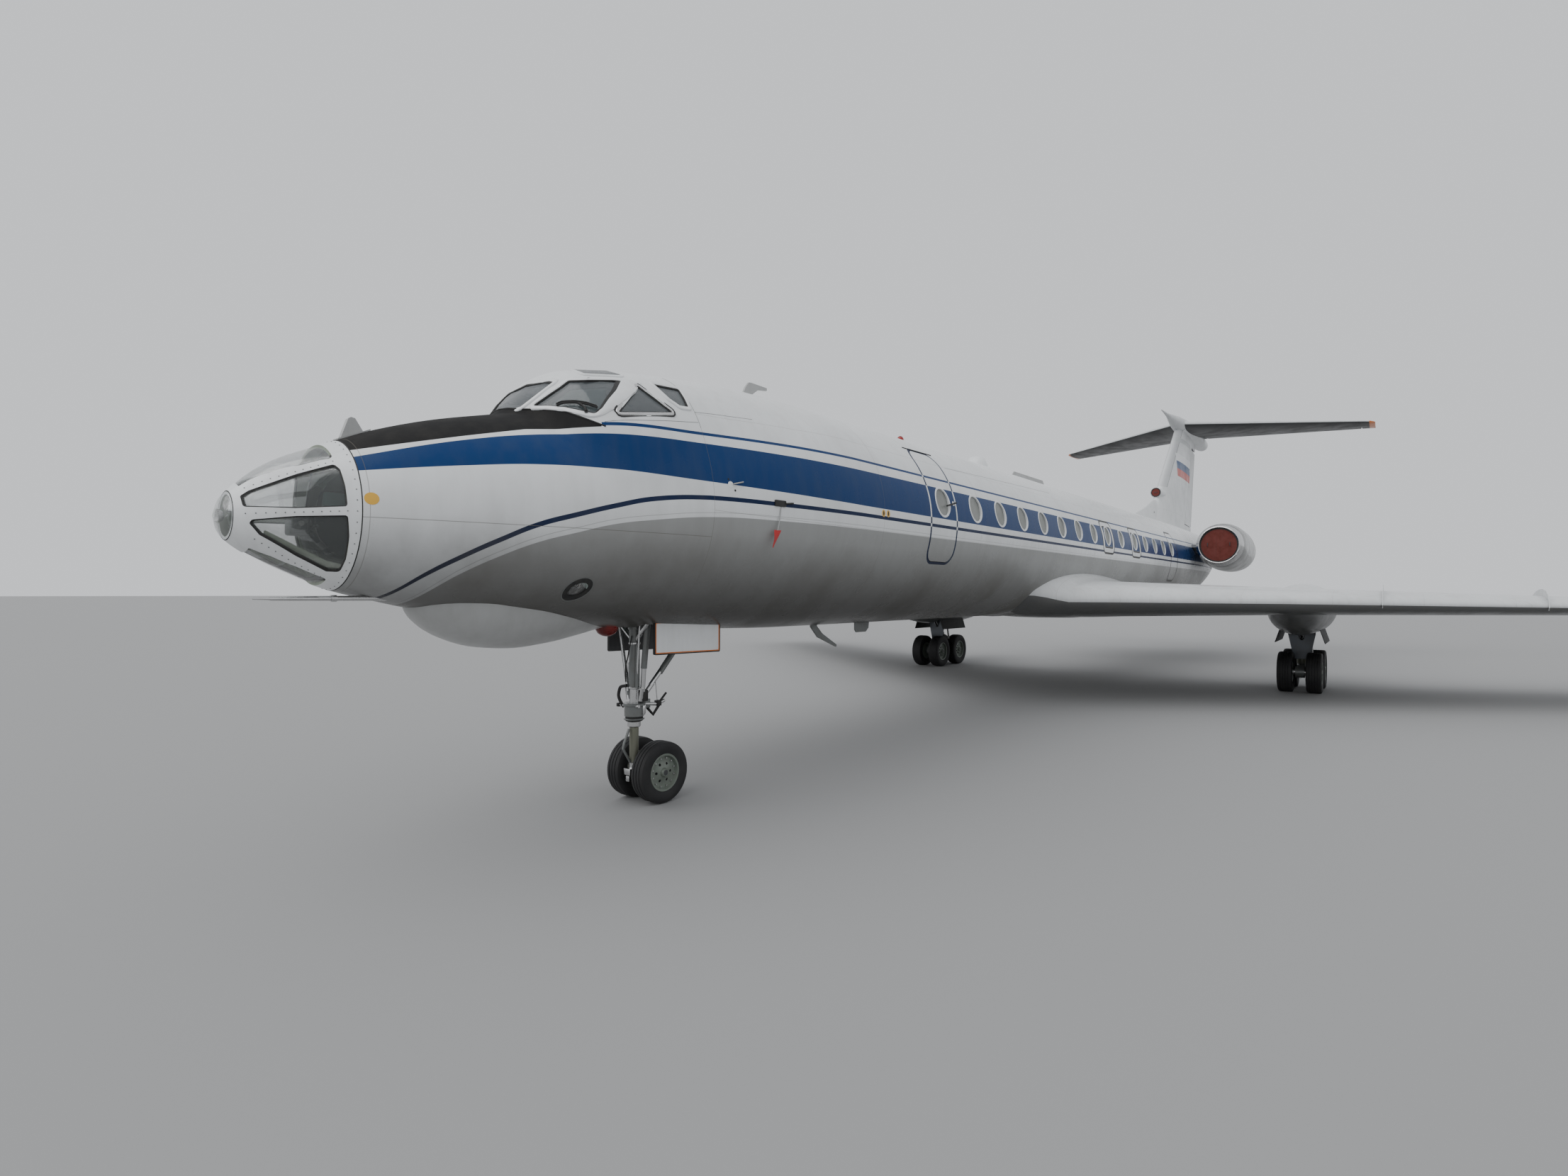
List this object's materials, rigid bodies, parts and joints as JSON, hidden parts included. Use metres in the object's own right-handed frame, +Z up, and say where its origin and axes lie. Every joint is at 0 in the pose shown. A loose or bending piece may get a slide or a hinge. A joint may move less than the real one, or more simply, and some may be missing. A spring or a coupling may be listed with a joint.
{
  "type": "twin-engined narrow-body airliner with a glazed nose",
  "caption": "Narrow-body jet airliner with a glazed nose, T-tail, rear engines and bogie gear in wing pods, parked on its wheels with steering, flaps and control surfaces free to move.",
  "frame": {"origin": "on the ground under the middle of the aircraft's length and width", "axes": "+X to port, +Y aft along the fuselage, +Z up"},
  "size_m": [29.01, 37.1, 9.11],
  "materials": {
    "paint_white": "glossy white with blue bands and a grey belly",
    "radome_grey": "satin grey",
    "gear_metal": "satin grey enamel",
    "tyres": "matt black",
    "glazing": "clear",
    "cover_red": "faded red canvas",
    "engine_metal": "dull metal",
    "seat_cloth": "woven grey",
    "cabin_trim": "matt dark grey"
  },
  "bodies": {
    "airframe": {"bogie_beam_port": "gear_metal", "bogie_beam_starboard": "gear_metal", "chin_radome": "radome_grey", "engine_port": "engine_metal", "engine_starboard": "engine_metal", "entry_door": "paint_white", "fin": "paint_white", "fin_intake_plug": "cover_red", "flight_deck_floor": "cabin_trim", "flight_deck_glass": "glazing", "flight_deck_shell": "paint_white", "fuselage": "paint_white", "gear_pod_port": "paint_white", "gear_pod_starboard": "paint_white", "instrument_panel": "cabin_trim", "intake_cover_port": "cover_red", "intake_cover_starboard": "cover_red", "main_drag_strut_port": "gear_metal", "main_drag_strut_starboard": "gear_metal", "main_leg_port": "gear_metal", "main_leg_starboard": "gear_metal", "nacelle_port": "paint_white", "nacelle_starboard": "paint_white", "navigator_console": "cabin_trim", "navigator_floor": "cabin_trim", "navigator_seat": "seat_cloth", "navigator_sight": "cabin_trim", "nose_drag_strut": "gear_metal", "nose_gear_door_port": "paint_white", "nose_gear_door_starboard": "paint_white", "nose_glass": "glazing", "nose_glazing_frame": "paint_white", "nose_leg": "gear_metal", "pilot_seat_port": "seat_cloth", "pilot_seat_starboard": "seat_cloth", "pylon_port": "paint_white", "pylon_starboard": "paint_white", "tail_bullet": "paint_white", "tailplane": "paint_white", "wing_port": "paint_white", "wing_starboard": "paint_white"},
    "nose_fork": {"nose_fork": "gear_metal"},
    "nose_wheels": {"nose_wheels": "tyres"},
    "main_wheels_front_port": {"main_wheels_front_port": "tyres"},
    "main_wheels_rear_port": {"main_wheels_rear_port": "tyres"},
    "main_wheels_front_starboard": {"main_wheels_front_starboard": "tyres"},
    "main_wheels_rear_starboard": {"main_wheels_rear_starboard": "tyres"},
    "flap_inner_port": {"flap_inner_port": "paint_white"},
    "flap_outer_port": {"flap_outer_port": "paint_white"},
    "flap_inner_starboard": {"flap_inner_starboard": "paint_white"},
    "flap_outer_starboard": {"flap_outer_starboard": "paint_white"},
    "aileron_port": {"aileron_port": "paint_white"},
    "aileron_starboard": {"aileron_starboard": "paint_white"},
    "spoiler_port": {"spoiler_port": "paint_white"},
    "spoiler_starboard": {"spoiler_starboard": "paint_white"},
    "elevator_port": {"elevator_port": "paint_white"},
    "elevator_starboard": {"elevator_starboard": "paint_white"},
    "rudder": {"rudder": "paint_white"}
  },
  "joints": [
    {"name": "nose_steering", "type": "hinge", "parent": "airframe", "child": "nose_fork", "pos_m": [0, -14.82, 0.6], "axis": [0, 0, 1], "range_deg": [-55, 55]},
    {"name": "nose_wheels_spin", "type": "hinge", "parent": "nose_fork", "child": "nose_wheels", "pos_m": [0, -14.63, 0.32989], "axis": [1, 0, 0], "continuous": true},
    {"name": "main_wheels_front_port_spin", "type": "hinge", "parent": "airframe", "child": "main_wheels_front_port", "pos_m": [4.73, 0.85, 0.46323], "axis": [1, 0, 0], "continuous": true},
    {"name": "main_wheels_rear_port_spin", "type": "hinge", "parent": "airframe", "child": "main_wheels_rear_port", "pos_m": [4.73, 2.01, 0.46323], "axis": [1, 0, 0], "continuous": true},
    {"name": "main_wheels_front_starboard_spin", "type": "hinge", "parent": "airframe", "child": "main_wheels_front_starboard", "pos_m": [-4.73, 0.85, 0.46323], "axis": [1, 0, 0], "continuous": true},
    {"name": "main_wheels_rear_starboard_spin", "type": "hinge", "parent": "airframe", "child": "main_wheels_rear_starboard", "pos_m": [-4.73, 2.01, 0.46323], "axis": [1, 0, 0], "continuous": true},
    {"name": "flap_inner_port_turn", "type": "hinge", "parent": "airframe", "child": "flap_inner_port", "pos_m": [2.76, -0.14726, 1.93904], "axis": [-0.9318, -0.3629, -0.0081], "range_deg": [0, 38]},
    {"name": "flap_outer_port_turn", "type": "hinge", "parent": "airframe", "child": "flap_outer_port", "pos_m": [7.54, 2.22057, 1.9459], "axis": [-0.8698, -0.4934, 0.0028], "range_deg": [0, 38]},
    {"name": "flap_inner_starboard_turn", "type": "hinge", "parent": "airframe", "child": "flap_inner_starboard", "pos_m": [-2.76, -0.14726, 1.93904], "axis": [-0.9318, 0.3629, 0.0081], "range_deg": [0, 38]},
    {"name": "flap_outer_starboard_turn", "type": "hinge", "parent": "airframe", "child": "flap_outer_starboard", "pos_m": [-7.54, 2.22057, 1.9459], "axis": [-0.8698, 0.4934, -0.0028], "range_deg": [0, 38]},
    {"name": "aileron_port_turn", "type": "hinge", "parent": "airframe", "child": "aileron_port", "pos_m": [11.7, 4.63747, 2.01559], "axis": [0.8719, 0.4896, -0.0111], "range_deg": [-20, 20]},
    {"name": "aileron_starboard_turn", "type": "hinge", "parent": "airframe", "child": "aileron_starboard", "pos_m": [-11.7, 4.63747, 2.01559], "axis": [0.8719, -0.4896, 0.0111], "range_deg": [-20, 20]},
    {"name": "spoiler_port_turn", "type": "hinge", "parent": "airframe", "child": "spoiler_port", "pos_m": [7.55, 1.73806, 2.23922], "axis": [0.8561, 0.5161, -0.0267], "range_deg": [0, 50]},
    {"name": "spoiler_starboard_turn", "type": "hinge", "parent": "airframe", "child": "spoiler_starboard", "pos_m": [-7.55, 1.73806, 2.23922], "axis": [0.8561, -0.5161, 0.0267], "range_deg": [0, 50]},
    {"name": "elevator_port_turn", "type": "hinge", "parent": "airframe", "child": "elevator_port", "pos_m": [2.935, 16.09368, 8.87337], "axis": [0.8361, 0.5475, 0.035], "range_deg": [-16, 22]},
    {"name": "elevator_starboard_turn", "type": "hinge", "parent": "airframe", "child": "elevator_starboard", "pos_m": [-2.935, 16.09368, 8.87337], "axis": [0.8361, -0.5475, -0.035], "range_deg": [-16, 22]},
    {"name": "rudder_turn", "type": "hinge", "parent": "airframe", "child": "rudder", "pos_m": [0, 12.98452, 6.51], "axis": [0, 0.4467, 0.8947], "range_deg": [-25, 25]}
  ],
  "couplings": [
    {"joint": "flap_outer_port_turn", "follows": "flap_inner_port_turn", "ratio": 1},
    {"joint": "flap_inner_starboard_turn", "follows": "flap_inner_port_turn", "ratio": 1},
    {"joint": "flap_outer_starboard_turn", "follows": "flap_inner_port_turn", "ratio": 1},
    {"joint": "aileron_starboard_turn", "follows": "aileron_port_turn", "ratio": -1},
    {"joint": "spoiler_starboard_turn", "follows": "spoiler_port_turn", "ratio": 1},
    {"joint": "elevator_starboard_turn", "follows": "elevator_port_turn", "ratio": 1}
  ]
}
